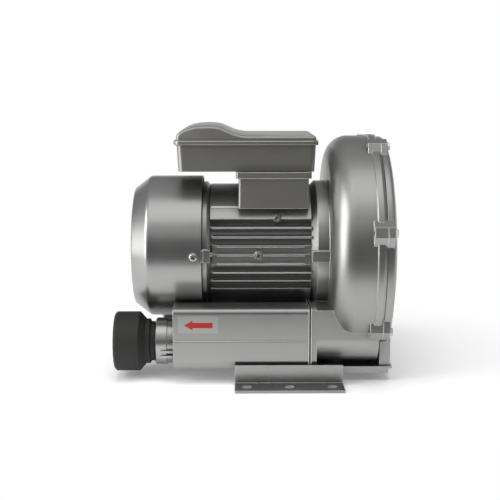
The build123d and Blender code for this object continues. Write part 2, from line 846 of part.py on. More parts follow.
with BuildPart() as impeller_housing:
    with BuildSketch(lengthwise()) as casing:
        with BuildLine():
            Polyline(
                (frame_end, 0),
                (frame_end, neck_radius - neck_bevel),
                (frame_end + neck_bevel, neck_radius),
                (back_face, neck_radius),
                (back_face, casing_radius - casing_corner),
            )
            RadiusArc(
                (back_face, casing_radius - casing_corner),
                (back_face + casing_corner, casing_radius),
                casing_arc,
            )
            Polyline(
                (back_face + casing_corner, casing_radius),
                (joint_station - 9.5, casing_radius),
                (joint_station - 9.0, joint_radius),
                (joint_station - 3.0, joint_radius),
                (joint_station, joint_radius - joint_bevel),
                (joint_station, 0),
                (frame_end, 0),
            )
        make_face()
    revolve(axis=Axis((0, 0, axis_height), (1, 0, 0)))
    lugs(lug_start, joint_station)
    for side in (-1, 1):
        with BuildSketch(on_section(flange_start)) as stub:
            with BuildLine():
                Polyline(
                    (side * (silencer_outer - belly_radius), duct_bottom),
                    (side * 56.0, duct_bottom),
                    (side * 40.0, 34.0),
                    (side * 30.0, 50.0),
                    (side * 30.0, duct_top),
                    (side * silencer_outer, duct_top),
                    (side * silencer_outer, duct_bottom + belly_radius),
                )
                RadiusArc(
                    (side * silencer_outer, duct_bottom + belly_radius),
                    (side * (silencer_outer - belly_radius), duct_bottom),
                    side * belly_radius,
                )
            make_face()
        extrude(stub.sketch, amount=duct_end - flange_start)
        with BuildSketch(on_section(flange_start)) as flange:
            add(silencer_outline(side))
        extrude(flange.sketch, amount=flange_thickness)
    ring(flange_start, frame_end, motor_clearance, mode=Mode.SUBTRACT)
    for side in (-1, 1):
        block(
            (frame_end, back_face + 5.5),
            sorted((side * 60.0, side * (neck_radius + 4.0))),
            (axis_height - 6.0, axis_height + 6.0),
        )
    ring(frame_end - 4.0, frame_end, frame_bore - fit)
    turned(
        (back_wall_face, 0),
        (back_wall_face, pocket_radius),
        (joint_station, pocket_radius),
        (joint_station, 0),
        mode=Mode.SUBTRACT,
    )
    ring(joint_station - register_depth - free_gap, joint_station, cover_radius - 2.0, mode=Mode.SUBTRACT)
    channel_cut(back_wall_face, back_wall_face - channel_depth)
    turned(
        (frame_end - 4.0, 0),
        (frame_end - 4.0, frame_bore - 4.0),
        (frame_end, frame_bore - 4.0),
        (frame_end + 2.0, neck_radius - neck_wall - 10.0),
        (seal_wall - 4.0, neck_radius - neck_wall - 4.0),
        (seal_wall - 4.0, hub_outer),
        (drive_bearing_start, hub_outer),
        (drive_bearing_start, 0),
        mode=Mode.SUBTRACT,
    )
    ring(
        drive_bearing_start,
        drive_bearing_start + bearing_width,
        bearing_outer_radius + fit,
        mode=Mode.SUBTRACT,
    )
    ring(drive_bearing_start, seal_start + seal_width, seal_radius, mode=Mode.SUBTRACT)
    ring(drive_bearing_start, joint_station, shaft_radius + 3.5, mode=Mode.SUBTRACT)
    for side in (-1, 1):
        ring(
            frame_end - 4.0,
            back_face,
            tie_rod_radius + fit,
            y=side * tie_rod_offset,
            mode=Mode.SUBTRACT,
        )
        ring(
            flange_start,
            back_wall_face - channel_depth + 6.0,
            duct_radius,
            y=side * port_offset,
            z=duct_height,
            mode=Mode.SUBTRACT,
        )
    cover_bolt_holes(lug_end - cover_bolt_length - 1.0, joint_station, fit)
    for side in (-1, 1):
        for offset, height in flange_screw_spots:
            ring(
                flange_start,
                flange_start + flange_thickness,
                flange_screw_radius + screw_gap,
                y=side * offset,
                z=height,
                mode=Mode.SUBTRACT,
            )
save(impeller_housing.part, "impeller_housing")

# Impeller cover: second side channel, a ribbed dish in front and two legs on the foot
dish_radius = 72.0
dish_wall = 5.0
dish_rib = 5.0
with BuildPart() as impeller_cover:
    with BuildSketch(lengthwise()):
        with BuildLine():
            Polyline(
                (cover_wall_face, 0),
                (cover_wall_face, channel_outer - fit),
                (joint_station - register_depth, channel_outer - fit),
                (joint_station - register_depth, cover_radius - 2.0 - fit),
                (joint_station, cover_radius - 2.0 - fit),
                (joint_station, cover_radius - joint_bevel / 2),
                (joint_station + joint_bevel / 2, cover_radius),
                (joint_station + 4.0, cover_radius),
            )
            Spline(
                (joint_station + 4.0, cover_radius),
                (cover_front - 3.0, cover_radius - 13.5),
                (cover_front, (channel_inner + channel_outer) / 2 - 2.0),
                (cover_front - 3.0, dish_radius + 6.0),
                (dish_face, dish_radius - 1.0),
                tangents=((0.6, 0.0), (-1.0, -0.6)),
            )
            Polyline(
                (dish_face, dish_radius - 1.0),
                (dish_face, 0),
                (cover_wall_face, 0),
            )
        make_face()
    revolve(axis=Axis((0, 0, axis_height), (1, 0, 0)))
    lugs(joint_station, lug_end)
    with BuildSketch(across(dish_face - dish_wall)) as ribs:
        Circle(18.0)
        with PolarLocations(0, 8):
            with Locations((dish_radius / 2 + 4.0, 0)):
                Rectangle(dish_radius, dish_rib)
    extrude(ribs.sketch, amount=dish_wall + 5.0)
    for side in (-1, 1):
        with BuildSketch(on_section(joint_station)) as leg:
            with BuildLine():
                Polyline(
                    (side * leg_outer, foot_top),
                    (side * leg_outer, axis_height - sqrt(cover_radius**2 - leg_outer**2) + 6.0),
                    (side * leg_inner, axis_height - sqrt(cover_radius**2 - leg_inner**2) + 6.0),
                    (side * leg_inner, foot_top),
                    close=True,
                )
            make_face()
        extrude(leg.sketch, amount=leg_end - joint_station)
    ring(cover_wall_face, dish_face - dish_wall, dish_radius - 6.0, mode=Mode.SUBTRACT)
    channel_cut(cover_wall_face, cover_wall_face + channel_depth)
    for side in (-1, 1):
        with Locations(((joint_station + leg_end) / 2, side * cover_leg_bolt_offset, foot_top)):
            Cylinder(
                foot_bolt_radius + fit,
                12.0,
                align=(Align.CENTER, Align.CENTER, Align.MIN),
                mode=Mode.SUBTRACT,
            )
    cover_bolt_holes(joint_station, lug_end, screw_gap)
    cover_bolt_holes(lug_end, cover_front, cover_bolt_head - cover_bolt_radius + screw_gap)
save(impeller_cover.part, "impeller_cover")

# Cover bolts: hexagon heads on the cover's lugs
with BuildPart() as cover_bolts:
    for angle in lug_angles:
        y, z = polar(cover_bolt_circle, angle)
        seat = across(lug_end, y, axis_height + z)
        screw(seat, cover_bolt_head, 3.5, cover_bolt_radius, cover_bolt_length, sides=6)
save(cover_bolts.part, "cover_bolts")

# Silencers: outlet on the near side and inlet on the far side, each a lined casing with a port
cavity_start = silencer_start + silencer_wall
tube_start = cavity_start
tube_end = silencer_end - 1.0
boss_radius = 5.5
boss_height = 10.0
nub_height = 1.8
tube_slot_rows = 4
tube_slot_columns = 6

for side, role in ((-1, "outlet"), (1, "inlet")):
    with BuildPart() as silencer:
        with BuildSketch(on_section(silencer_start)) as shell:
            add(silencer_outline(side))
        extrude(shell.sketch, amount=silencer_end - silencer_start)
        block(
            (silencer_start, silencer_end),
            sorted((side * (silencer_outer - 1.2), side * (silencer_outer + 1.0))),
            (silencer_groove - 0.8, silencer_groove + 0.8),
            mode=Mode.SUBTRACT,
        )
        with BuildSketch(on_section(cavity_start)) as hollow:
            add(silencer_outline(side, silencer_wall))
        extrude(hollow.sketch, amount=silencer_end - cavity_start, mode=Mode.SUBTRACT)
        with Locations((silencer_bolt_station, side * silencer_bolt_offset, silencer_bottom)):
            Cylinder(boss_radius, boss_height, align=(Align.CENTER, Align.CENTER, Align.MIN))
            Cylinder(
                foot_bolt_radius + fit - 1.0,
                boss_height - 1.0,
                align=(Align.CENTER, Align.CENTER, Align.MIN),
                mode=Mode.SUBTRACT,
            )
        for offset, height in flange_screw_spots:
            ring(silencer_end - 14.0, silencer_end, 5.5, y=side * offset, z=height)
            ring(
                silencer_end - 12.0,
                silencer_end,
                flange_screw_radius + fit,
                y=side * offset,
                z=height,
                mode=Mode.SUBTRACT,
            )
        ring(
            silencer_start,
            cavity_start,
            port_radius - 2.0,
            y=side * port_offset,
            z=port_height,
            mode=Mode.SUBTRACT,
        )
    save(silencer.part, f"{role}_silencer")

    # Foam liner round a perforated tube, both pushed in from the open end
    with BuildPart() as foam:
        with BuildSketch(on_section(cavity_start + 1.0)) as lining:
            add(silencer_outline(side, silencer_wall + 0.2))
            with Locations((side * port_offset, port_height)):
                Circle(tube_radius + fit, mode=Mode.SUBTRACT)
        extrude(lining.sketch, amount=silencer_end - cavity_start - 16.0)
        with Locations((silencer_bolt_station, side * silencer_bolt_offset, silencer_bottom)):
            Cylinder(
                boss_radius + 0.5,
                boss_height + 0.5,
                align=(Align.CENTER, Align.CENTER, Align.MIN),
                mode=Mode.SUBTRACT,
            )
    save(foam.part, f"{role}_foam")

    with BuildPart() as tube:
        ring(tube_start, tube_end, tube_radius, tube_radius - tube_wall, y=side * port_offset, z=port_height)
        pitch = (tube_end - tube_start) / (tube_slot_rows + 1)
        for row in range(tube_slot_rows):
            x = tube_start + (row + 1) * pitch
            with Locations(across(x, side * port_offset, port_height)):
                with PolarLocations(tube_radius, tube_slot_columns):
                    Box(6.0 * tube_wall, 6.0, 0.5 * pitch, mode=Mode.SUBTRACT)
    save(tube.part, f"{role}_tube")

    with BuildPart() as gasket:
        with BuildSketch(on_section(silencer_end)) as seal:
            add(silencer_outline(side, 0.8))
            add(silencer_outline(side, silencer_wall + 0.5), mode=Mode.SUBTRACT)
        extrude(seal.sketch, amount=gasket_thickness)
        for offset, height in flange_screw_spots:
            ring(
                silencer_end,
                flange_start,
                flange_screw_radius + screw_gap,
                y=side * offset,
                z=height,
                mode=Mode.SUBTRACT,
            )
    save(gasket.part, f"{role}_gasket")

    # Port: threaded spigot with a turned collar and two cast nubs, held in the casing's end wall
    with BuildPart() as port:
        turned(
            (silencer_start - port_length, 0),
            (silencer_start - port_length, port_radius - 2.4),
            (silencer_start - port_length + 2.0, port_radius),
            (silencer_start - 8.0, port_radius),
            (silencer_start - 7.5, port_radius - 1.2),
            (silencer_start, port_radius - 1.2),
            (silencer_start, port_radius - 2.0 - fit),
            (cavity_start, port_radius - 2.0 - fit),
            (cavity_start, 0),
            y=side * port_offset,
            z=port_height,
        )
        for drop in (5.5, 11.5):
            reach = port_offset + sqrt(port_radius**2 - drop**2) + nub_height
            block(
                (silencer_start - 13.5, silencer_start - 1.0),
                sorted((side * (reach - 4.0), side * reach)),
                (port_height - drop - 1.3, port_height - drop + 1.3),
            )
        ring(
            silencer_start - port_length,
            cavity_start,
            port_bore,
            y=side * port_offset,
            z=port_height,
            mode=Mode.SUBTRACT,
        )
    save(port.part, f"{role}_port")

# Flange screws pull the silencers to the duct flanges
flange_end = flange_start + flange_thickness
with BuildPart() as flange_screws:
    for side in (-1, 1):
        for offset, height in flange_screw_spots:
            screw(
                across(flange_end, side * offset, height),
                5.0,
                5.0,
                flange_screw_radius,
                flange_end - silencer_end + 11.0,
            )
save(flange_screws.part, "flange_screws")

# Coupling: rubber hose end on a short threaded neck in the outlet port
thread_radius = port_bore - fit
coupling_waist = 22.6
port_face = silencer_start - port_length
with BuildPart() as outlet_coupling:
    turned(
        (coupling_start, coupling_bore),
        (coupling_start, coupling_radius - 2.0),
        (coupling_start + 2.0, coupling_radius),
        (coupling_shoulder, coupling_radius),
        (coupling_shoulder + 7.0, coupling_waist + 1.6),
        (coupling_shoulder + 11.0, coupling_waist + 1.6),
        (coupling_shoulder + 12.5, coupling_waist - 1.2),
        (port_face, coupling_waist - 1.2),
        (port_face, thread_radius),
        (port_face + 12.0, thread_radius),
        (port_face + 12.0, thread_radius - 3.5),
        (coupling_shoulder + 4.0, thread_radius - 3.5),
        (coupling_shoulder, coupling_bore),
        y=-port_offset,
        z=port_height,
    )
save(outlet_coupling.part, "outlet_coupling")

# Foot: shelf between two upright webs, slotted wings on the floor and a tongue with lips under the cover
with BuildPart() as foot:
    with BuildSketch(on_section(-foot_length / 2)) as hat:
        with BuildLine():
            Polyline(
                (0, foot_top),
                (foot_web_inner, foot_top),
                (foot_web_inner, foot_web_top),
                (foot_web_outer, foot_web_top),
                (foot_web_outer, foot_sheet),
                (foot_half_width, foot_sheet),
                (foot_half_width, 0),
                (foot_web_inner, 0),
                (foot_web_inner, foot_top - foot_sheet),
                (0, foot_top - foot_sheet),
                close=True,
            )
        make_face()
        mirror(about=Plane.YZ)
    extrude(hat.sketch, amount=foot_length)
    with BuildSketch(Plane.XY.offset(foot_top)) as tongue:
        with BuildLine():
            Polyline(
                (foot_length / 2 - 1.0, -tongue_half_width),
                (tongue_end - 4.0, -tongue_half_width),
                (tongue_end, -tongue_half_width + 4.0),
                (tongue_end, tongue_half_width - 4.0),
                (tongue_end - 4.0, tongue_half_width),
                (foot_length / 2 - 1.0, tongue_half_width),
                close=True,
            )
        make_face()
    extrude(tongue.sketch, amount=-foot_sheet)
    block(
        (fork_start, tongue_end + 1.0),
        (-fork_half_width, fork_half_width),
        (0, foot_top + 1.0),
        mode=Mode.SUBTRACT,
    )
    for side in (-1, 1):
        block(
            (foot_length / 2 + 1.0, tongue_end - 4.0),
            sorted((side * tongue_half_width, side * (tongue_half_width - foot_sheet))),
            (foot_top - tongue_lip, foot_top - foot_sheet / 2),
        )
    for side in (-1, 1):
        with BuildSketch(Plane.XY.offset(foot_sheet)) as slots:
            with GridLocations(slot_spacing, 0, 3, 1):
                with Locations((0, side * slot_offset)):
                    SlotOverall(slot_length, slot_width)
        extrude(slots.sketch, amount=-foot_sheet, mode=Mode.SUBTRACT)
        with BuildSketch(Plane.XY.offset(foot_top)) as bolt_holes:
            with Locations(
                (silencer_bolt_station, side * silencer_bolt_offset),
                ((joint_station + leg_end) / 2, side * cover_leg_bolt_offset),
            ):
                Circle(foot_bolt_radius + screw_gap)
        extrude(bolt_holes.sketch, amount=-foot_sheet, mode=Mode.SUBTRACT)
save(foot.part, "foot")

# Foot bolts: from below into the silencer bosses and the cover's legs
under_foot = foot_top - foot_sheet
with BuildPart() as foot_bolts:
    for side in (-1, 1):
        for x, y, radius, reach in (
            (silencer_bolt_station, silencer_bolt_offset, foot_bolt_radius - 1.0, boss_height - 2.0),
            ((joint_station + leg_end) / 2, cover_leg_bolt_offset, foot_bolt_radius, 11.0),
        ):
            seat = Plane(origin=(x, side * y, under_foot), x_dir=(1, 0, 0), z_dir=(0, 0, -1))
            screw(seat, 6.5, 5.0, radius, foot_sheet + reach, sides=6)
save(foot_bolts.part, "foot_bolts")

# Terminal box: neck on the motor frame, base with its flanged foot, gasket and lid
neck_wall_thickness = 3.0
neck_flange = 6.7
neck_draft = 1.0
box_draft = 1.5
wire_hole_radius = 12.0
lid_post_radius = 4.0
lid_screw_radius = 1.6
lid_wall = 2.0
lid_corner = 1.5
base_floor = box_bottom + box_wall
box_length = box_end - box_start
box_centre = (box_start + box_end) / 2
neck_centre = (neck_start + neck_end) / 2
neck_length = neck_end - neck_start
lid_screw_spots = [
    (x, side * (box_half_width - lid_screw_inset))
    for x in (box_start + lid_screw_inset + 1.0, box_end - lid_screw_inset - 1.0)
    for side in (-1, 1)
]

with BuildPart() as terminal_neck:
    with BuildSketch(Plane.XY.offset(neck_bottom)) as foot_print:
        with Locations((neck_centre, 0)):
            RectangleRounded(neck_length, 2 * neck_half_width, 3.0)
    with BuildSketch(Plane.XY.offset(box_bottom)) as head_print:
        with Locations((neck_centre, 0)):
            RectangleRounded(neck_length - neck_draft, 2 * neck_half_width - neck_draft, 3.0)
    loft([foot_print.sketch, head_print.sketch])
    with BuildSketch(Plane.XY.offset(box_bottom - neck_flange)) as collar:
        with Locations((neck_centre, 0)):
            RectangleRounded(neck_length + 5.0, 2 * neck_half_width + 2.0, 3.0)
    extrude(collar.sketch, amount=neck_flange)
    with BuildSketch(Plane.XY.offset(neck_bottom + 3.0)) as inside:
        with Locations((neck_centre, 0)):
            RectangleRounded(
                neck_length - 2 * neck_wall_thickness,
                2 * (neck_half_width - neck_wall_thickness),
                2.0,
            )
    extrude(inside.sketch, amount=box_bottom - neck_bottom, mode=Mode.SUBTRACT)
    ring(neck_start - 5.0, neck_end + 5.0, fin_tip_radius + fit, mode=Mode.SUBTRACT)
save(terminal_neck.part, "terminal_neck")

with BuildPart() as terminal_box:
    with BuildSketch(Plane.XY.offset(box_bottom)) as low:
        with Locations((box_centre, 0)):
            RectangleRounded(box_length - 2 * box_draft, 2 * box_half_width - box_draft, 6.0)
    with BuildSketch(Plane.XY.offset(box_rim + 1.0)) as high:
        with Locations((box_centre, 0)):
            RectangleRounded(box_length, 2 * box_half_width, 6.0)
    loft([low.sketch, high.sketch])
    with BuildSketch(Plane.XY.offset(base_floor)) as hollow:
        with Locations((box_centre, 0)):
            RectangleRounded(box_length - 3 * box_wall, 2 * (box_half_width - 1.3 * box_wall), 4.0)
    extrude(hollow.sketch, amount=lid_seat - base_floor, mode=Mode.SUBTRACT)
    with BuildSketch(Plane.XY.offset(box_bottom)) as posts:
        with Locations(*lid_screw_spots):
            Circle(lid_post_radius)
    extrude(posts.sketch, amount=box_rim + 1.0 - box_bottom)
    with BuildSketch(Plane.XY.offset(box_rim + 1.0)) as threads:
        with Locations(*lid_screw_spots):
            Circle(lid_screw_radius + fit)
    extrude(threads.sketch, amount=-16.0, mode=Mode.SUBTRACT)
    with Locations((neck_centre, 0, box_bottom)):
        Cylinder(wire_hole_radius, 4 * box_wall, mode=Mode.SUBTRACT)
    with Locations((gland_station, box_half_width, (box_bottom + box_rim) / 2)):
        Cylinder(8.0 + screw_gap, 6 * box_wall, rotation=(90, 0, 0), mode=Mode.SUBTRACT)
save(terminal_box.part, "terminal_box")

with BuildPart() as lid_gasket:
    with BuildSketch(Plane.XY.offset(box_rim + 1.0)) as strip:
        with Locations((box_centre, 0)):
            RectangleRounded(box_length - 0.6, 2 * box_half_width - 0.6, 5.5)
            RectangleRounded(
                box_length - 2.4 * box_wall,
                2 * box_half_width - 2.4 * box_wall,
                4.0,
                mode=Mode.SUBTRACT,
            )
    extrude(strip.sketch, amount=1.0)
    with BuildSketch(Plane.XY.offset(box_rim + 1.0)) as relief:
        with Locations(*lid_screw_spots):
            Circle(lid_screw_radius + screw_gap)
    extrude(relief.sketch, amount=1.0, mode=Mode.SUBTRACT)
save(lid_gasket.part, "lid_gasket")


def lid_profile(y, shrink, drop):
    """Side outline of the lid with the capacitor hump, shrunk for its hollow and dropped for its crown."""
    left = box_start + 1.5 + shrink
    right = box_end - 0.5 - shrink
    top = lid_top - shrink - drop
    crest = hump_top - shrink - drop
    corner = lid_corner - shrink / 2
    with BuildSketch(Plane.XZ.offset(-y)) as side_view:
        with BuildLine():
            Polyline(
                (right, top - corner),
                (right, lid_seat - 0.01),
                (left, lid_seat - 0.01),
                (left, top - 0.5),
            )
            Spline(
                (left, top - 0.5),
                (hump_centre - 22.0, crest - 4.4),
                (hump_centre - 10.0, crest - 1.0),
                (hump_centre, crest),
                (hump_centre + 9.0, crest - 1.3),
                (hump_centre + 26.0, top + 1.6),
                (hump_centre + 40.0, top),
                tangents=((0.8, 1.0), (1.0, 0.0)),
            )
            Polyline((hump_centre + 40.0, top), (right - corner, top), (right, top - corner))
        make_face()
    return side_view.sketch


def lid_body(shrink):
    """Crowned body of the lid, lofted from its near side over the middle to its far side."""
    side = box_half_width - 0.5 - shrink
    stations = ((-side, lid_crown), (0, 0), (side, lid_crown))
    loft([lid_profile(y, shrink, drop) for y, drop in stations])


with BuildPart() as lid_hollow:
    lid_body(lid_wall)
    with BuildSketch(Plane.XY.offset(lid_seat)) as columns:
        with Locations(*lid_screw_spots):
            Circle(lid_post_radius + 2.0)
    extrude(columns.sketch, amount=hump_top - lid_seat, mode=Mode.SUBTRACT)

with BuildPart() as terminal_lid:
    lid_body(0.0)
    with BuildSketch(Plane.XY.offset(box_rim)) as skirt:
        with Locations(((lid_start + lid_end) / 2, 0)):
            RectangleRounded(lid_end - lid_start, 2 * lid_half_width, 7.0)
    extrude(skirt.sketch, amount=lid_skirt)
    with BuildSketch(Plane.XY.offset(box_rim)) as nest:
        with Locations((box_centre, 0)):
            RectangleRounded(box_length + 0.8, 2 * box_half_width + 0.8, 6.4)
    extrude(nest.sketch, amount=lid_seat - box_rim, mode=Mode.SUBTRACT)
    add(lid_hollow.part, mode=Mode.SUBTRACT)
    with BuildSketch(Plane.XY.offset(lid_seat)) as bores:
        with Locations(*lid_screw_spots):
            Circle(lid_screw_radius + screw_gap)
    extrude(bores.sketch, amount=30.0, mode=Mode.SUBTRACT)
    with BuildSketch(Plane.XY.offset(lid_seat + 3.0)) as wells:
        with Locations(*lid_screw_spots):
            Circle(lid_post_radius)
    extrude(wells.sketch, amount=30.0, mode=Mode.SUBTRACT)
save(terminal_lid.part, "terminal_lid")

with BuildPart() as lid_screws:
    for x, y in lid_screw_spots:
        seat = Plane(origin=(x, y, lid_seat + 3.0), x_dir=(1, 0, 0), z_dir=(0, 0, 1))
        screw(seat, 3.2, 2.4, lid_screw_radius, 18.0)
save(lid_screws.part, "lid_screws")

# Inside the box: terminal block with its studs, the run capacitor and its clamp
block_length = 48.0
block_depth = 26.0
block_height = 14.0
stud_pitch = 14.0
block_centre = (-8.0, -24.0)
with BuildPart() as terminal_block:
    with BuildSketch(Plane.XY.offset(base_floor)):
        with Locations(block_centre):
            Rectangle(block_length, block_depth)
            with GridLocations(stud_pitch, stud_pitch, 3, 2):
                Circle(2.0 + fit, mode=Mode.SUBTRACT)
    extrude(amount=block_height)
    chamfer(terminal_block.faces().sort_by(Axis.Z)[-1].edges().filter_by(GeomType.LINE), 1.5)
save(terminal_block.part, "terminal_block")

with BuildPart() as terminal_studs:
    with BuildSketch(Plane.XY.offset(base_floor)):
        with Locations(block_centre):
            with GridLocations(stud_pitch, stud_pitch, 3, 2):
                Circle(2.0)
    extrude(amount=block_height + 7.0)
    with BuildSketch(Plane.XY.offset(base_floor + block_height)):
        with Locations(block_centre):
            with GridLocations(stud_pitch, stud_pitch, 3, 2):
                RegularPolygon(4.0, 6)
    extrude(amount=3.0)
save(terminal_studs.part, "terminal_studs")

capacitor_height = base_floor + capacitor_radius
with BuildPart() as capacitor:
    with BuildSketch(Plane.XZ.offset(-capacitor_length / 2)):
        with Locations((hump_centre, capacitor_height)):
            Circle(capacitor_radius)
    extrude(amount=capacitor_length)
    chamfer(capacitor.edges().filter_by(GeomType.CIRCLE), 1.5)
save(capacitor.part, "capacitor")

clamp_band = 1.0
clamp_width = 14.0
clamp_foot = 5.5
with BuildPart() as capacitor_clamp:
    with BuildSketch(Plane.XZ.offset(-clamp_width / 2)):
        with Locations((hump_centre, capacitor_height)):
            Circle(capacitor_radius + fit + clamp_band)
            Circle(capacitor_radius + fit, mode=Mode.SUBTRACT)
        with Locations((hump_centre, capacitor_height)):
            Rectangle(
                3 * capacitor_radius,
                2 * capacitor_radius,
                align=(Align.CENTER, Align.MAX),
                mode=Mode.SUBTRACT,
            )
        for side in (-1, 1):
            with Locations((hump_centre + side * (capacitor_radius + fit + clamp_band / 2), base_floor)):
                Rectangle(clamp_band, capacitor_radius + 0.5, align=(Align.CENTER, Align.MIN))
            with Locations((hump_centre + side * (capacitor_radius + clamp_foot / 2), base_floor)):
                Rectangle(clamp_foot, clamp_band, align=(Align.CENTER, Align.MIN))
    extrude(amount=clamp_width)
save(capacitor_clamp.part, "capacitor_clamp")

# Cable gland in the box's far wall, with a nut inside
gland_height = (box_bottom + box_rim) / 2
gland_seat = box_half_width
gland_bore = 5.0
with BuildPart() as cable_gland:
    seat = Plane(origin=(gland_station, gland_seat, gland_height), x_dir=(1, 0, 0), z_dir=(0, 1, 0))
    with BuildSketch(seat):
        RegularPolygon(12.0, 6)
    extrude(amount=6.0)
    with BuildSketch(seat.offset(6.0)):
        Circle(10.5)
    extrude(amount=9.0, taper=8)
    with BuildSketch(seat):
        Circle(8.0)
    extrude(amount=-12.0)
    with BuildSketch(seat.offset(-12.0)):
        Circle(gland_bore)
    extrude(amount=30.0, mode=Mode.SUBTRACT)
save(cable_gland.part, "cable_gland")

with BuildPart() as gland_nut:
    seat = Plane(
        origin=(gland_station, box_half_width - 1.3 * box_wall, gland_height),
        x_dir=(1, 0, 0),
        z_dir=(0, -1, 0),
    )
    with BuildSketch(seat):
        RegularPolygon(11.5, 6)
        Circle(8.0 + fit, mode=Mode.SUBTRACT)
    extrude(amount=4.0)
save(gland_nut.part, "gland_nut")
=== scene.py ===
from math import atan2, cos, pi, radians, sin

import bmesh
import bpy
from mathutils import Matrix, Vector


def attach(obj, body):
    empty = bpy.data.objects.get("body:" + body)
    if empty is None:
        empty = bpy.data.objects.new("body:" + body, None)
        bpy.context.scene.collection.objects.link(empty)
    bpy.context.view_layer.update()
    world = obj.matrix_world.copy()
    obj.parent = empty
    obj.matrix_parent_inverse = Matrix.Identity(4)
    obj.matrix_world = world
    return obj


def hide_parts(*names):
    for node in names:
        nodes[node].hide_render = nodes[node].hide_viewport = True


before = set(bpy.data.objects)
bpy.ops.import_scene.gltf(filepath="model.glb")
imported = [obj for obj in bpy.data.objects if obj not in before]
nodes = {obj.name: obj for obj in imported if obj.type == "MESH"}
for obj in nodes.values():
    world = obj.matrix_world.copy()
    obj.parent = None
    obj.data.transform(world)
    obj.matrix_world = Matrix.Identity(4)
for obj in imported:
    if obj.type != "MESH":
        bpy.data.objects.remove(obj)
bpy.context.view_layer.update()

# Viewpoint. The blower stands square to the viewer, seen from slightly above the shaft,
# with its cover on the right and the fan on the left.
viewpoint = (-0.0500, -1.0814, 0.3130)
look_down = 9.695
look_right = 0.532
focal_length = 69.84
film_width = 36.0
nearest_seen = 0.05
camera = bpy.data.objects.new("camera", bpy.data.cameras.new("camera"))
camera.data.lens = focal_length
camera.data.sensor_width = film_width
camera.data.clip_start = nearest_seen
camera.location = viewpoint
camera.rotation_euler = (radians(90.0 - look_down), 0.0, radians(-look_right))
bpy.context.scene.collection.objects.link(camera)
bpy.context.scene.camera = camera

# Studio. A sheet of white paper under the blower fades into a white room at its border. Metal
# mirrors the white backdrop behind the blower and a darker room in front of it and above. There
# are soft boxes above and at the left, and one overhead that only fills the shadows.
bpy.context.scene.view_settings.view_transform = "Standard"
paper_low = (-0.70, -0.38)
paper_high = (0.62, 0.75)
paper_tones = ((0.90, 0.90, 0.90), (0.92, 0.92, 0.92))
paper_fibre_scale = 40.0
paper_fibre_detail = 2.0
paper_roughness = 0.90
paper_sheen = 0.10
paper_lift = 0.16
paper_fade = (0.22, 0.35)
room_front = ((0.0, 0.30), (0.28, 0.25), (0.34, 0.10), (0.62, 0.11), (0.76, 0.60), (1.0, 0.45))
room_back = ((0.0, 0.60), (0.46, 0.70), (0.50, 0.95), (0.54, 0.50), (0.64, 0.20), (1.0, 0.40))
room_turn = (-0.22, 0.18)
backdrop_turn = (0.05, 0.30)
backdrop_rise = (0.20, 0.32)
white = (1.0, 1.0, 1.0, 1.0)
lamp_aim = (-0.02, 0.0, 0.13)
lamps = (("box_above", (0.05, -0.60, 1.55), (1.5, 1.1), 5.0, True),
         ("box_overhead", (0.0, -0.10, 1.6), (0.9, 0.9), 10.0, False),
         ("box_left", (-1.20, -0.55, 0.55), (0.8, 1.4), 14.5, True))


def linked(tree, source, target):
    """Joins two sockets of a node tree."""
    tree.links.new(source, target)


def empty_material(name):
    """A new material with its tree, its shader and its object coordinates."""
    material = bpy.data.materials.new(name)
    material.use_nodes = True
    tree = material.node_tree
    shader = tree.nodes["Principled BSDF"]
    place = tree.nodes.new("ShaderNodeTexCoord").outputs["Object"]
    return material, tree, shader, place


def mixed(tree, factor, first, second):
    """Blends two colours, each a triple of numbers or a socket, by a factor socket."""
    blend = tree.nodes.new("ShaderNodeMix")
    blend.data_type = "RGBA"
    linked(tree, factor, blend.inputs["Factor"])
    for socket, colour in (("A", first), ("B", second)):
        if isinstance(colour, tuple):
            blend.inputs[socket].default_value = (*colour, 1.0)
        else:
            linked(tree, colour, blend.inputs[socket])
    return blend.outputs["Result"]


def noise(tree, place, scale, detail):
    """A noise over the given coordinates."""
    texture = tree.nodes.new("ShaderNodeTexNoise")
    texture.inputs["Scale"].default_value = scale
    texture.inputs["Detail"].default_value = detail
    linked(tree, place, texture.inputs["Vector"])
    return texture.outputs["Fac"]


def ranged(tree, value, from_low, from_high, to_low, to_high):
    """Maps a value from one range to another and keeps it inside."""
    node = tree.nodes.new("ShaderNodeMapRange")
    node.inputs["From Min"].default_value = from_low
    node.inputs["From Max"].default_value = from_high
    node.inputs["To Min"].default_value = to_low
    node.inputs["To Max"].default_value = to_high
    linked(tree, value, node.inputs["Value"])
    return node.outputs["Result"]


def combined(tree, operation, first, second):
    """One number from two sockets, by the given operation."""
    node = tree.nodes.new("ShaderNodeMath")
    node.operation = operation
    linked(tree, first, node.inputs[0])
    linked(tree, second, node.inputs[1])
    return node.outputs["Value"]


def mixed_shaders(tree, factor, first, second):
    """Blends two shaders by a factor socket."""
    blend = tree.nodes.new("ShaderNodeMixShader")
    for socket, source in enumerate((factor, first, second)):
        linked(tree, source, blend.inputs[socket])
    return blend.outputs["Shader"]


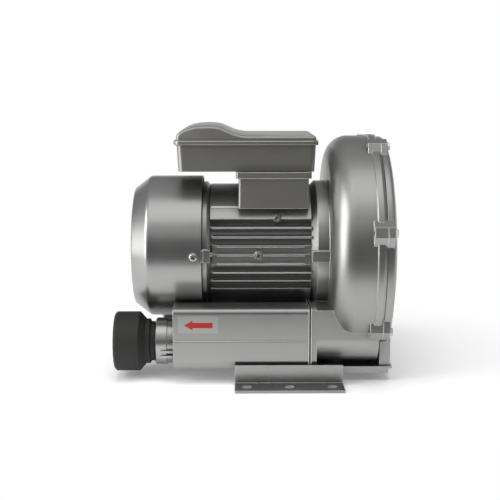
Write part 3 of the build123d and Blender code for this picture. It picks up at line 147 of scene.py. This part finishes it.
def paper_material():
    """Matt white paper, which keeps the shadow and is full white beyond it."""
    material, tree, shader, place = empty_material("studio_paper")
    shader.inputs["Roughness"].default_value = paper_roughness
    shader.inputs["Specular IOR Level"].default_value = paper_sheen
    fibres = noise(tree, place, paper_fibre_scale, paper_fibre_detail)
    linked(tree, mixed(tree, fibres, *paper_tones), shader.inputs["Base Color"])
    rays = tree.nodes.new("ShaderNodeLightPath")
    lift = tree.nodes.new("ShaderNodeEmission")
    lift.inputs["Strength"].default_value = paper_lift
    lifted = tree.nodes.new("ShaderNodeAddShader")
    linked(tree, shader.outputs["BSDF"], lifted.inputs[0])
    linked(tree, lift.outputs["Emission"], lifted.inputs[1])
    shown = combined(tree, "MAXIMUM", rays.outputs["Is Camera Ray"],
                     rays.outputs["Is Glossy Ray"])
    sheet = mixed_shaders(tree, shown, shader.outputs["BSDF"], lifted.outputs["Shader"])
    reach = tree.nodes.new("ShaderNodeVectorMath")
    reach.operation = "LENGTH"
    linked(tree, place, reach.inputs["Vector"])
    far = ranged(tree, reach.outputs["Value"], *paper_fade, 0.0, 1.0)
    faded = combined(tree, "MULTIPLY", far, rays.outputs["Is Camera Ray"])
    full_white = tree.nodes.new("ShaderNodeEmission")
    linked(tree, mixed_shaders(tree, faded, sheet, full_white.outputs["Emission"]),
           tree.nodes["Material Output"].inputs["Surface"])
    return material


paper_mesh = bpy.data.meshes.new("studio_paper")
paper_corners = [(paper_low[0], paper_low[1], 0.0), (paper_high[0], paper_low[1], 0.0),
                 (paper_high[0], paper_high[1], 0.0), (paper_low[0], paper_high[1], 0.0)]
paper_mesh.from_pydata(paper_corners, [], [(0, 1, 2, 3)])
paper_mesh.materials.append(paper_material())
paper = bpy.data.objects.new("studio_paper", paper_mesh)
bpy.context.scene.collection.objects.link(paper)

surroundings = bpy.data.worlds.new("surroundings")
bpy.context.scene.world = surroundings
surroundings.use_nodes = True
room = surroundings.node_tree
way = room.nodes.new("ShaderNodeSeparateXYZ")
linked(room, room.nodes.new("ShaderNodeTexCoord").outputs["Generated"], way.inputs["Vector"])
rise = ranged(room, way.outputs["Z"], -1.0, 1.0, 0.0, 1.0)


def room_side(tones):
    """Grey tones of one side of the room, from straight down to straight up."""
    ramp = room.nodes.new("ShaderNodeValToRGB")
    ramp.color_ramp.interpolation = "EASE"
    while len(ramp.color_ramp.elements) < len(tones):
        ramp.color_ramp.elements.new(0.5)
    for element, (height, tone) in zip(ramp.color_ramp.elements, tones):
        element.position = height
        element.color = (tone, tone, tone, 1.0)
    linked(room, rise, ramp.inputs["Fac"])
    return ramp.outputs["Color"]


turn = ranged(room, way.outputs["Y"], *room_turn, 0.0, 1.0)
room_light = room.nodes["Background"]
linked(room, mixed(room, turn, room_side(room_front), room_side(room_back)),
       room_light.inputs["Color"])
room_white = room.nodes.new("ShaderNodeBackground")
room_white.inputs["Color"].default_value = white
rays = room.nodes.new("ShaderNodeLightPath")
backdrop = combined(room, "MULTIPLY",
                    ranged(room, way.outputs["Y"], *backdrop_turn, 0.0, 1.0),
                    ranged(room, way.outputs["Z"], *backdrop_rise, 1.0, 0.0))
mirrored_rays = combined(room, "MULTIPLY", backdrop,
                         combined(room, "MAXIMUM", rays.outputs["Is Glossy Ray"],
                                  rays.outputs["Is Transmission Ray"]))
white_rays = combined(room, "MAXIMUM", rays.outputs["Is Camera Ray"], mirrored_rays)
linked(room, mixed_shaders(room, white_rays, room_light.outputs["Background"],
                           room_white.outputs["Background"]),
       room.nodes["World Output"].inputs["Surface"])

for name, place, (width, height), power, mirrored in lamps:
    lamp = bpy.data.lights.new(name, "AREA")
    lamp.shape = "RECTANGLE"
    lamp.size = width
    lamp.size_y = height
    lamp.energy = power
    holder = bpy.data.objects.new(name, lamp)
    holder.location = place
    holder.visible_glossy = mirrored
    holder.rotation_euler = (Vector(lamp_aim) - Vector(place)).to_track_quat("-Z", "Y").to_euler()
    bpy.context.scene.collection.objects.link(holder)

# Castings. The side channel housing, its cover, the finned motor frame and the end bell are
# die-cast aluminium under a satin silver paint, with a fine cast grain, hollows darkened by dust
# and painted shade, and a painted highlight along the edges.
coat_drift_scale = 14.0
coat_drift_detail = 4.0
coat_drift_tones = (0.93, 1.07)
coat_gloss_drift = (-0.05, 0.07)
# Dust and painted shade in the hollows: their tone, their samples and, below, their reach.
coat_dust_and_shade_tone = 0.62
coat_dust_and_shade_samples = 10
coat_edge_samples = 6
# Painted edge highlight: where it starts and ends in facing, and, below, its colour.
edge_highlight_facing = (0.97, 0.80)
coat_grain_detail = 3.0
coat_grain_strength = 0.35
dust_and_shade_reach = 0.012
silver_edge_highlight = (0.86, 0.86, 0.85)


def shaded(colour, part):
    """A colour made darker or paler by a factor."""
    return tuple(min(1.0, part * tone) for tone in colour)


def with_dust_and_shade(tree, coat, dust_and_shade_colour, reach, samples):
    """Darkens a coat in the hollows of its piece, as dust and painted shade."""
    hollow = tree.nodes.new("ShaderNodeAmbientOcclusion")
    hollow.samples = samples
    hollow.inputs["Distance"].default_value = reach
    return mixed(tree, hollow.outputs["AO"], dust_and_shade_colour, coat)


def rounded_normal(tree, width, samples):
    """Normals that turn smoothly over the edges of a piece."""
    edge = tree.nodes.new("ShaderNodeBevel")
    edge.samples = samples
    edge.inputs["Radius"].default_value = width
    return edge.outputs["Normal"]


def embossed(tree, height, strength, depth, normal):
    """Presses a pattern of heights into the skin."""
    relief = tree.nodes.new("ShaderNodeBump")
    relief.inputs["Strength"].default_value = strength
    relief.inputs["Distance"].default_value = depth
    linked(tree, height, relief.inputs["Height"])
    linked(tree, normal, relief.inputs["Normal"])
    return relief.outputs["Normal"]


def worked_skin(name, colour, metal, roughness, grain_scale, grain_depth, edge_highlight_colour,
                edge_width, reach=dust_and_shade_reach):
    """A grained skin: slow drift of tone, dust and painted shade in hollows, painted edge
    highlight.
    """
    material, tree, shader, place = empty_material(name)
    shader.inputs["Metallic"].default_value = metal
    drift = noise(tree, place, coat_drift_scale, coat_drift_detail)
    coat = mixed(tree, drift, *(shaded(colour, part) for part in coat_drift_tones))
    # Dust and painted shade: the coat darkens where the piece closes in around it.
    dust_and_shade_coat = with_dust_and_shade(tree, coat, shaded(colour, coat_dust_and_shade_tone), reach, coat_dust_and_shade_samples)
    smooth = rounded_normal(tree, edge_width, coat_edge_samples)
    facing = tree.nodes.new("ShaderNodeVectorMath")
    facing.operation = "DOT_PRODUCT"
    linked(tree, smooth, facing.inputs[0])
    linked(tree, tree.nodes.new("ShaderNodeNewGeometry").outputs["Normal"], facing.inputs[1])
    # Painted highlight: the coat turns pale where the rounded normal leaves the true one, at
    # edges.
    painted_edge_highlight = ranged(tree, facing.outputs["Value"], *edge_highlight_facing, 0.0, 1.0)
    linked(tree, mixed(tree, painted_edge_highlight, dust_and_shade_coat, edge_highlight_colour), shader.inputs["Base Color"])
    linked(tree, ranged(tree, drift, 0.0, 1.0, *(roughness + part for part in coat_gloss_drift)),
           shader.inputs["Roughness"])
    grain = noise(tree, place, grain_scale, coat_grain_detail)
    linked(tree, embossed(tree, grain, coat_grain_strength, grain_depth, smooth),
           shader.inputs["Normal"])
    return material


def finish_nodes(material, *names):
    """Gives CAD nodes their material."""
    for name in names:
        mesh = nodes[name].data
        mesh.materials.clear()
        mesh.materials.append(material)


cast_silver = worked_skin("cast_silver_paint", colour=(0.36, 0.36, 0.3546), metal=0.92,
                          roughness=0.33, grain_scale=900.0, grain_depth=0.0004,
                          edge_highlight_colour=silver_edge_highlight, edge_width=0.0012)
finish_nodes(cast_silver, "impeller_housing", "impeller_cover", "motor_frame", "end_bell")

# Sheet parts. The fan cover, the two silencers and the foot are drawn or folded steel sheet
# in the same silver paint, smoother and a little glossier than the castings.
# Its longer reach spreads the painted shade low on the silencers, near the foot.
sheet_silver = worked_skin("sheet_silver_paint", colour=(0.36, 0.36, 0.3564), metal=0.92,
                           roughness=0.28, grain_scale=320.0, grain_depth=0.00003,
                           edge_highlight_colour=silver_edge_highlight, edge_width=0.0007, reach=0.022)
finish_nodes(sheet_silver, "fan_cover", "outlet_silencer", "inlet_silencer", "foot")

# Terminal box. The neck, the box and its humped lid are die-cast and painted a warm grey satin,
# with a painted highlight along their edges, as where the lid meets the box.
box_grey = worked_skin("warm_grey_paint", colour=(0.34, 0.335, 0.315), metal=0.80,
                       roughness=0.36, grain_scale=1200.0, grain_depth=0.0002,
                       edge_highlight_colour=(0.80, 0.80, 0.77), edge_width=0.0012)
finish_nodes(box_grey, "terminal_neck", "terminal_box", "terminal_lid")

# Lid shell. The lid is a thin casting with a flat top that rises into a hump over the capacitor,
# all its edges rounded, with a sunk screw well in each corner. It stands on a skirt that laps
# over the rim of the box.
lid_ends = (-0.1184, 0.0296)
lid_half_width = 0.0574
lid_bottom = 0.2532
lid_shoulder = 0.2606
lid_top = 0.2596
lid_wall = 0.0020
lid_edge_round = 0.0030
lid_edge_steps = 4
lid_edge_angle = 35.0
hump_line = ((-0.1200, 0.2600), (-0.1160, 0.2626), (-0.1086, 0.2664), (-0.1000, 0.2689),
             (-0.0900, 0.2698), (-0.0820, 0.2698), (-0.0750, 0.2691), (-0.0700, 0.2677),
             (-0.0646, 0.2653), (-0.0583, 0.2626), (-0.0510, 0.2605), (-0.0430, 0.2596),
             (-0.0350, 0.2596))
hump_end = -0.0430
hump_steps = 4
post_spots = ((0.0204, 0.0490, 0.2588), (0.0204, -0.0490, 0.2588),
              (-0.1092, 0.0490, 0.2622), (-0.1092, -0.0490, 0.2622))
post_radius = 0.0058
post_bottom = 0.2522
post_sides = 32
well_radius = 0.0040
well_bottom = 0.2547
well_top = 0.2750
skirt_ends = (-0.1212, 0.0319)
skirt_half_width = 0.0600
skirt_corner = 0.0070
skirt_section = ((0.0026, 0.2497), (0.0008, 0.2497), (0.0, 0.2505), (0.0, 0.2539),
                 (0.0008, 0.2547), (0.0046, 0.2547), (0.0046, 0.2517), (0.0026, 0.2517))
corner_steps = 6
smooth_angle = 32.0


def smooth_line(points, steps):
    """Points on a smooth line through all but the first and last of the (x, z) points."""
    line = []
    for place in range(1, len(points) - 2):
        before, start, end, after = (Vector(point) for point in points[place - 1:place + 3])
        for step in range(steps):
            part = step / steps
            line.append(0.5 * (2 * start + (end - before) * part
                               + (2 * before - 5 * start + 4 * end - after) * part ** 2
                               + (3 * start - before - 3 * end + after) * part ** 3))
    return line


def loose_object(name, shape):
    """An object from a bmesh, not yet part of the model."""
    mesh = bpy.data.meshes.new(name)
    bmesh.ops.recalc_face_normals(shape, faces=shape.faces)
    shape.to_mesh(mesh)
    shape.free()
    made = bpy.data.objects.new(name, mesh)
    bpy.context.scene.collection.objects.link(made)
    return made


def upright_cylinders(name, radius, bottom, spots):
    """Upright cylinders at the given (x, y, top) spots."""
    shape = bmesh.new()
    for x, y, top in spots:
        made = bmesh.ops.create_cone(shape, cap_ends=True, segments=post_sides, radius1=radius,
                                     radius2=radius, depth=top - bottom)
        bmesh.ops.translate(shape, verts=made["verts"], vec=(x, y, 0.5 * (top + bottom)))
    return loose_object(name, shape)


def rounded_loop(shape, low, high, corner, placed):
    """A loop round a rectangle with round corners, whose flat points are placed in space."""
    centres = ((high[0] - corner, high[1] - corner), (low[0] + corner, high[1] - corner),
               (low[0] + corner, low[1] + corner), (high[0] - corner, low[1] + corner))
    loop = []
    for quarter, (first, second) in enumerate(centres):
        for step in range(corner_steps + 1):
            angle = 0.5 * pi * (quarter + step / corner_steps)
            loop.append(shape.verts.new(placed(first + corner * cos(angle),
                                               second + corner * sin(angle))))
    return loop


def band(shape, lower, upper):
    """Adds the faces between two loops."""
    for step in range(len(lower)):
        after = (step + 1) % len(lower)
        shape.faces.new((lower[step], lower[after], upper[after], upper[step]))


def closed_ring(shape, loops):
    """Joins each loop to the next, and the last one to the first."""
    for lower, upper in zip(loops, loops[1:] + loops[:1]):
        band(shape, lower, upper)


def finished_mesh(piece):
    """Applies a piece's modifiers and smooths its round faces."""
    seen = piece.evaluated_get(bpy.context.evaluated_depsgraph_get())
    mesh = bpy.data.meshes.new_from_object(seen)
    piece.modifiers.clear()
    piece.data = mesh
    mesh.shade_smooth()
    mesh.set_sharp_from_angle(angle=radians(smooth_angle))


outline = [(lid_ends[0], lid_bottom), (lid_ends[0], lid_shoulder)]
outline += [(point.x, point.y) for point in smooth_line(hump_line, hump_steps)]
outline += [(hump_end, lid_top), (lid_ends[1], lid_top), (lid_ends[1], lid_bottom)]
shape = bmesh.new()
near_line = [shape.verts.new((x, -lid_half_width, z)) for x, z in outline]
far_line = [shape.verts.new((x, lid_half_width, z)) for x, z in outline]
shape.faces.new(near_line)
shape.faces.new(far_line[::-1])
for place in range(len(outline) - 1):
    shape.faces.new((near_line[place], far_line[place], far_line[place + 1],
                     near_line[place + 1]))
lid = loose_object("lid_shell", shape)
rounding = lid.modifiers.new("rounding", "BEVEL")
rounding.width = lid_edge_round
rounding.segments = lid_edge_steps
rounding.limit_method = "ANGLE"
rounding.angle_limit = radians(lid_edge_angle)
wall = lid.modifiers.new("wall", "SOLIDIFY")
wall.thickness = lid_wall
wall.offset = -1.0
posts = upright_cylinders("lid_posts", post_radius, post_bottom, post_spots)
wells = upright_cylinders("lid_wells", well_radius, well_bottom,
                          [(x, y, well_top) for x, y, top in post_spots])
for name, helper, operation in (("posts", posts, "UNION"), ("wells", wells, "DIFFERENCE")):
    cut = lid.modifiers.new(name, "BOOLEAN")
    cut.operation = operation
    cut.object = helper
finished_mesh(lid)
lid.data.materials.clear()
lid.data.materials.append(box_grey)
bpy.data.objects.remove(posts)
bpy.data.objects.remove(wells)
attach(lid, "blower")
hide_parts("terminal_lid")

shape = bmesh.new()
loops = [rounded_loop(shape, (skirt_ends[0] + inset, inset - skirt_half_width),
                      (skirt_ends[1] - inset, skirt_half_width - inset),
                      skirt_corner - inset, lambda x, y: (x, y, height))
         for inset, height in skirt_section]
closed_ring(shape, loops)
skirt = loose_object("lid_skirt", shape)
finished_mesh(skirt)
skirt.data.materials.append(box_grey)
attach(skirt, "blower")

# Joint lips. Silencer and housing meet at their gasket with a thin rolled lip on either side, in
# a pale metal that paints a highlight along its crest. A lip's section gives how proud it stands
# and how far along.
# A pale metal that paints a highlight on the lips, beads and saddle; its edge colour is a painted
# highlight too.
painted_highlight_metal = worked_skin("painted_highlight_metal", colour=(0.72, 0.72, 0.71), metal=0.95,
                            roughness=0.34, grain_scale=900.0, grain_depth=0.0001,
                            edge_highlight_colour=(0.85, 0.85, 0.84), edge_width=0.0008)
lip_spots = (0.0205, 0.0230)
lip_low = (0.0210, 0.0170)
lip_high = (0.0950, 0.0820)
lip_corner = 0.0060
lip_section = ((-0.0006, 0.0), (0.00042, 0.0), (0.0007, 0.00027), (0.0007, 0.00063),
               (0.00042, 0.0009), (-0.0006, 0.0009))
shape = bmesh.new()
for side in (1.0, -1.0):
    for spot in lip_spots:
        loops = [rounded_loop(shape, [edge - proud for edge in lip_low],
                              [edge + proud for edge in lip_high], lip_corner + proud,
                              lambda y, z: (spot + along, side * y, z))
                 for proud, along in lip_section]
        closed_ring(shape, loops)
lips = loose_object("joint_lips", shape)
finished_mesh(lips)
lips.data.materials.append(painted_highlight_metal)
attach(lips, "blower")

# Silencer seams. Each silencer is folded from two half shells, and a narrow rolled bead runs
# along the seam on its outer side, in a pale metal that paints a highlight on it.
bead_ends = (-0.1210, 0.0205)
bead_section = ((0.0947, 0.0468), (0.0955, 0.0471), (0.0955, 0.0477), (0.0947, 0.0480))


def closed_solid(shape, loops):
    """Joins each loop to the next and caps the first and the last."""
    for lower, upper in zip(loops, loops[1:]):
        band(shape, lower, upper)
    shape.faces.new(loops[0][::-1])
    shape.faces.new(loops[-1])


def side_bars(section, ends):
    """A straight bar of a (y, z) section on each side of the blower."""
    shape = bmesh.new()
    for side in (1.0, -1.0):
        closed_solid(shape, [[shape.verts.new((x, side * y, z)) for y, z in section]
                             for x in ends])
    return shape


beads = loose_object("silencer_beads", side_bars(bead_section, bead_ends))
finished_mesh(beads)
beads.data.materials.append(painted_highlight_metal)
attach(beads, "blower")

# Black rubber. The coupling, the shaft seal and the gaskets are moulded in black rubber with
# a dull, slightly greasy skin.
# Its edge colour is a painted highlight.
black_rubber = worked_skin("black_rubber", colour=(0.013, 0.013, 0.012), metal=0.0,
                           roughness=0.62, grain_scale=600.0, grain_depth=0.0003,
                           edge_highlight_colour=(0.045, 0.045, 0.043), edge_width=0.0008)
finish_nodes(black_rubber, "outlet_coupling", "shaft_seal", "lid_gasket", "outlet_gasket",
             "inlet_gasket")

# Black plastic. The cable gland with its nut, the cooling fan and the terminal block are
# moulded in glass-filled nylon.
# Its edge colour is a painted highlight.
black_nylon = worked_skin("black_nylon", colour=(0.022, 0.022, 0.023), metal=0.0,
                          roughness=0.42, grain_scale=1400.0, grain_depth=0.0002,
                          edge_highlight_colour=(0.050, 0.050, 0.052), edge_width=0.0005)
finish_nodes(black_nylon, "cable_gland", "gland_nut", "cooling_fan", "terminal_block")

# Turned aluminium. The ports are turned from bar and left bare, and the impeller, the cage of
# the rotor and the can of the capacitor have the same bright aluminium skin.
lathe_drift_scale = 22.0
lathe_drift_detail = 3.0
lathe_gloss_drift = (-0.06, 0.08)
lathe_line_tone = 0.86
lathe_line_waver = 1.5
lathe_line_detail = 2.0
lathe_line_strength = 0.30
# Dust and painted shade in the hollows of turned parts.
lathe_dust_and_shade_tone = 0.35
lathe_dust_and_shade_reach = 0.008
lathe_dust_and_shade_samples = 6
lathe_edge_width = 0.0004
lathe_edge_samples = 4


def turned_metal(name, colour, roughness, line_scale, line_depth):
    """Bare metal with the fine rings that a lathe leaves around the shaft direction."""
    material, tree, shader, place = empty_material(name)
    shader.inputs["Metallic"].default_value = 1.0
    drift = noise(tree, place, lathe_drift_scale, lathe_drift_detail)
    rings = tree.nodes.new("ShaderNodeTexWave")
    rings.wave_type = "BANDS"
    rings.bands_direction = "X"
    rings.inputs["Scale"].default_value = line_scale
    rings.inputs["Distortion"].default_value = lathe_line_waver
    rings.inputs["Detail"].default_value = lathe_line_detail
    linked(tree, place, rings.inputs["Vector"])
    bare = mixed(tree, rings.outputs["Fac"], shaded(colour, lathe_line_tone), colour)
    # Dust and painted shade darken the hollows.
    linked(tree, with_dust_and_shade(tree, bare, shaded(colour, lathe_dust_and_shade_tone), lathe_dust_and_shade_reach,
                        lathe_dust_and_shade_samples), shader.inputs["Base Color"])
    linked(tree, ranged(tree, drift, 0.0, 1.0, *(roughness + part for part in lathe_gloss_drift)),
           shader.inputs["Roughness"])
    smooth = rounded_normal(tree, lathe_edge_width, lathe_edge_samples)
    linked(tree, embossed(tree, rings.outputs["Fac"], lathe_line_strength, line_depth, smooth),
           shader.inputs["Normal"])
    return material


turned_aluminium = turned_metal("turned_aluminium", colour=(0.46, 0.46, 0.455), roughness=0.30,
                                line_scale=260.0, line_depth=0.0001)
finish_nodes(turned_aluminium, "outlet_port", "inlet_port", "impeller", "rotor_cage",
             "capacitor")

# Steel. The shaft and the bearings are ground bright, and the fasteners, the perforated tubes
# of the silencers and the clamp of the capacitor are zinc-plated.
plated_steel = turned_metal("plated_steel", colour=(0.66, 0.66, 0.64), roughness=0.26,
                            line_scale=700.0, line_depth=0.00005)
finish_nodes(plated_steel, "drive_bearing_balls", "drive_bearing_inner_ring",
             "drive_bearing_outer_ring", "rear_bearing_balls", "rear_bearing_inner_ring",
             "rear_bearing_outer_ring", "shaft", "impeller_key", "impeller_shims",
             "impeller_washer", "impeller_bolt", "fan_circlip", "wave_spring", "tie_rods",
             "cover_bolts", "flange_screws", "foot_bolts", "lid_screws", "frame_screws",
             "fan_cover_screws", "outlet_tube", "inlet_tube", "capacitor_clamp")

# Cores. Rotor and stator are stacks of thin electrical steel sheets, pressed together and
# turned to size, so their skin is dark with fine lines.
laminated_steel = turned_metal("laminated_steel", colour=(0.20, 0.20, 0.21), roughness=0.42,
                               line_scale=320.0, line_depth=0.0003)
finish_nodes(laminated_steel, "rotor_core", "stator_core")

# Copper and brass. The windings are enamelled copper wire, the terminal studs and the
# bearing cages are brass.
wound_copper = turned_metal("enamelled_copper", colour=(0.50, 0.20, 0.09), roughness=0.35,
                            line_scale=420.0, line_depth=0.0004)
finish_nodes(wound_copper, "stator_windings")
bright_brass = turned_metal("bright_brass", colour=(0.70, 0.50, 0.22), roughness=0.28,
                            line_scale=500.0, line_depth=0.0001)
finish_nodes(bright_brass, "terminal_studs", "drive_bearing_cage", "rear_bearing_cage")

# Foam. The sleeves in the silencers are open-pored dark foam, cut to length and slid over
# the perforated tubes.
foam_tones = ((0.02, 0.02, 0.02), (0.11, 0.11, 0.115))
foam_roughness = 0.95
pore_scale = 260.0
pore_depth = 0.0012
grey_foam, tree, shader, place = empty_material("grey_foam")
shader.inputs["Roughness"].default_value = foam_roughness
pores = tree.nodes.new("ShaderNodeTexVoronoi")
pores.inputs["Scale"].default_value = pore_scale
linked(tree, place, pores.inputs["Vector"])
linked(tree, mixed(tree, pores.outputs["Distance"], *foam_tones), shader.inputs["Base Color"])
pitted = tree.nodes.new("ShaderNodeBump")
pitted.inputs["Distance"].default_value = pore_depth
linked(tree, pores.outputs["Distance"], pitted.inputs["Height"])
linked(tree, pitted.outputs["Normal"], shader.inputs["Normal"])
finish_nodes(grey_foam, "outlet_foam", "inlet_foam")

# Frame saddle. A sloped land is cast along each side of the motor frame, between the foot of the
# terminal neck and the first fin, with rounded edges, in a pale metal that paints a highlight on
# it.
saddle_ends = (-0.0830, 0.0225)
saddle_section = ((-0.0550, 0.1731), (-0.0483, 0.1847), (-0.0400, 0.1760), (-0.0478, 0.1680))
saddle_round = 0.0012
saddle_round_steps = 3
shape = side_bars(saddle_section, saddle_ends)
bmesh.ops.recalc_face_normals(shape, faces=shape.faces)
bmesh.ops.bevel(shape, geom=shape.edges[:], offset=saddle_round, segments=saddle_round_steps,
                affect="EDGES", profile=0.5)
saddle = loose_object("frame_saddle", shape)
saddle.data.materials.append(painted_highlight_metal)
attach(saddle, "blower")

# Small screws. Zinc-plated steel: cross-recessed pan heads on washers hold the fan cover, and
# socket heads sit on the round bosses of the motor frame. Each head is turned as a stack of
# rings, given by their kind, their size and their distance along the screw.
fan_cover_screw_line = (-0.1005, 0.0, 0.1340)
fan_cover_screw_angles = (0.0, pi, 1.5 * pi)
pan_head = (("round", 0.0020, 0.0705), ("round", 0.0020, 0.0786), ("round", 0.0054, 0.0786),
            ("round", 0.0054, 0.0793), ("round", 0.0044, 0.0793), ("round", 0.0044, 0.0803),
            ("round", 0.0038, 0.0811), ("round", 0.0030, 0.0815), ("cross", 0.0027, 0.0815),
            ("cross", 0.0023, 0.0797))
pan_head_steps = 48
cross_arm = 0.24
frame_bosses = ((-0.0312, -0.0661, 0.1340), (-0.0120, -0.0545, 0.1724))
socket_head = (("round", 0.0020, 0.0), ("round", 0.0020, 0.0034), ("round", 0.0043, 0.0034),
               ("round", 0.0043, 0.0041), ("round", 0.0033, 0.0041), ("round", 0.0033, 0.0057),
               ("round", 0.0029, 0.0062), ("hexagon", 0.0019, 0.0062),
               ("hexagon", 0.0019, 0.0040))
socket_head_steps = 36


def rim_point(kind, size, angle):
    """Distance of a ring's point from its centre: round, a hexagon or a cross."""
    if kind == "hexagon":
        part = (angle % (pi / 3)) - pi / 6
        return size * cos(pi / 6) / cos(part)
    if kind == "cross":
        part = angle % (pi / 2)
        part = min(part, pi / 2 - part)
        arm = cross_arm * size
        if atan2(arm, size) >= part:
            return size / cos(part)
        return arm / sin(part)
    return size


def turned_solid(shape, centre, outward, rings, steps):
    """Adds a closed solid of stacked rings along a line that leads outward."""
    axis = Vector(outward).normalized()
    side = axis.orthogonal().normalized()
    over = axis.cross(side)
    loops = []
    for kind, size, distance in rings:
        loop = []
        for step in range(steps):
            angle = 2.0 * pi * step / steps
            away = rim_point(kind, size, angle)
            point = Vector(centre) + axis * distance
            point += side * (away * cos(angle)) + over * (away * sin(angle))
            loop.append(shape.verts.new(point))
        loops.append(loop)
    closed_solid(shape, loops)


shape = bmesh.new()
for angle in fan_cover_screw_angles:
    turned_solid(shape, fan_cover_screw_line, (0.0, cos(angle), sin(angle)), pan_head,
                 pan_head_steps)
cover_screws = loose_object("fan_cover_screw_heads", shape)
cover_screws.data.materials.append(plated_steel)
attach(cover_screws, "blower")
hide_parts("fan_cover_screws")

shape = bmesh.new()
for centre in frame_bosses:
    turned_solid(shape, centre, (0.0, -1.0, 0.0), socket_head, socket_head_steps)
boss_screws = loose_object("frame_screw_heads", shape)
boss_screws.data.materials.append(plated_steel)
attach(boss_screws, "blower")
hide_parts("frame_screws")

# Flow label. A clear film with a red arrow, stuck on the near side of the outlet silencer,
# shows which way the air leaves.
silencer_face = -0.0950
film_face = -0.09512
ink_face = -0.09522
film_outline = ((-0.1160, 0.0562), (-0.0740, 0.0562), (-0.0740, 0.0742), (-0.1160, 0.0742))
arrow_outline = ((-0.1098, 0.06445), (-0.1010, 0.0593), (-0.1010, 0.0616), (-0.0800, 0.0616),
                 (-0.0800, 0.0673), (-0.1010, 0.0673), (-0.1010, 0.0696))
# The edge colours of the film and of the ink are painted highlights.
label_film = worked_skin("label_film", colour=(0.44, 0.44, 0.43), metal=0.88, roughness=0.30,
                         grain_scale=300.0, grain_depth=0.00005,
                         edge_highlight_colour=(0.60, 0.60, 0.59), edge_width=0.0003)
red_ink = worked_skin("red_ink", colour=(0.42, 0.017, 0.015), metal=0.0, roughness=0.45,
                      grain_scale=500.0, grain_depth=0.00005,
                      edge_highlight_colour=(0.55, 0.05, 0.04), edge_width=0.0002)


def flat_plate(outline, faces):
    """A thin plate of an (x, z) outline between its back and its front face."""
    shape = bmesh.new()
    closed_solid(shape, [[shape.verts.new((x, y, z)) for x, z in outline] for y in faces])
    return shape


film = loose_object("flow_label_film", flat_plate(film_outline, (silencer_face, film_face)))
film.data.materials.append(label_film)
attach(film, "blower")
arrow = loose_object("flow_label_arrow", flat_plate(arrow_outline, (film_face, ink_face)))
arrow.data.materials.append(red_ink)
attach(arrow, "blower")
